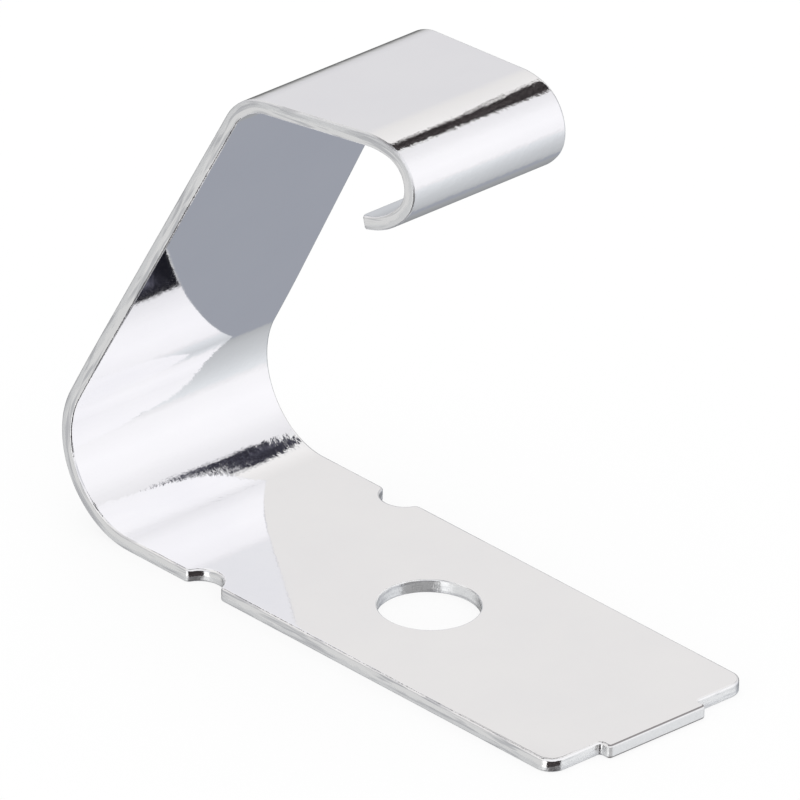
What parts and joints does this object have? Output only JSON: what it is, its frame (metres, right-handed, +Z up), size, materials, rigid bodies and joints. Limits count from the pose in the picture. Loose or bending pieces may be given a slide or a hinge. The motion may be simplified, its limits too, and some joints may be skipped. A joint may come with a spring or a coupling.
{
  "type": "spring contact",
  "caption": "Folded flat-spring contact: a flat base with a screw hole and side notches, a springy slanted arm, a flat crown and a rolled nose.",
  "frame": {"origin": "centre of the screw hole on the underside of the base, which is the face that rests on the panel", "axes": "+X along the base towards its free end, -X towards the back bend; +Y across the strip; +Z up from the mounting face towards the crown"},
  "size_m": [0.0301, 0.011, 0.0239],
  "materials": {
    "plated_sheet": "bright nickel plate over thin spring steel, mirror-like on the faces and duller on the blanked edges"
  },
  "bodies": {
    "root": {"contact_strip": "plated_sheet"}
  },
  "joints": []
}
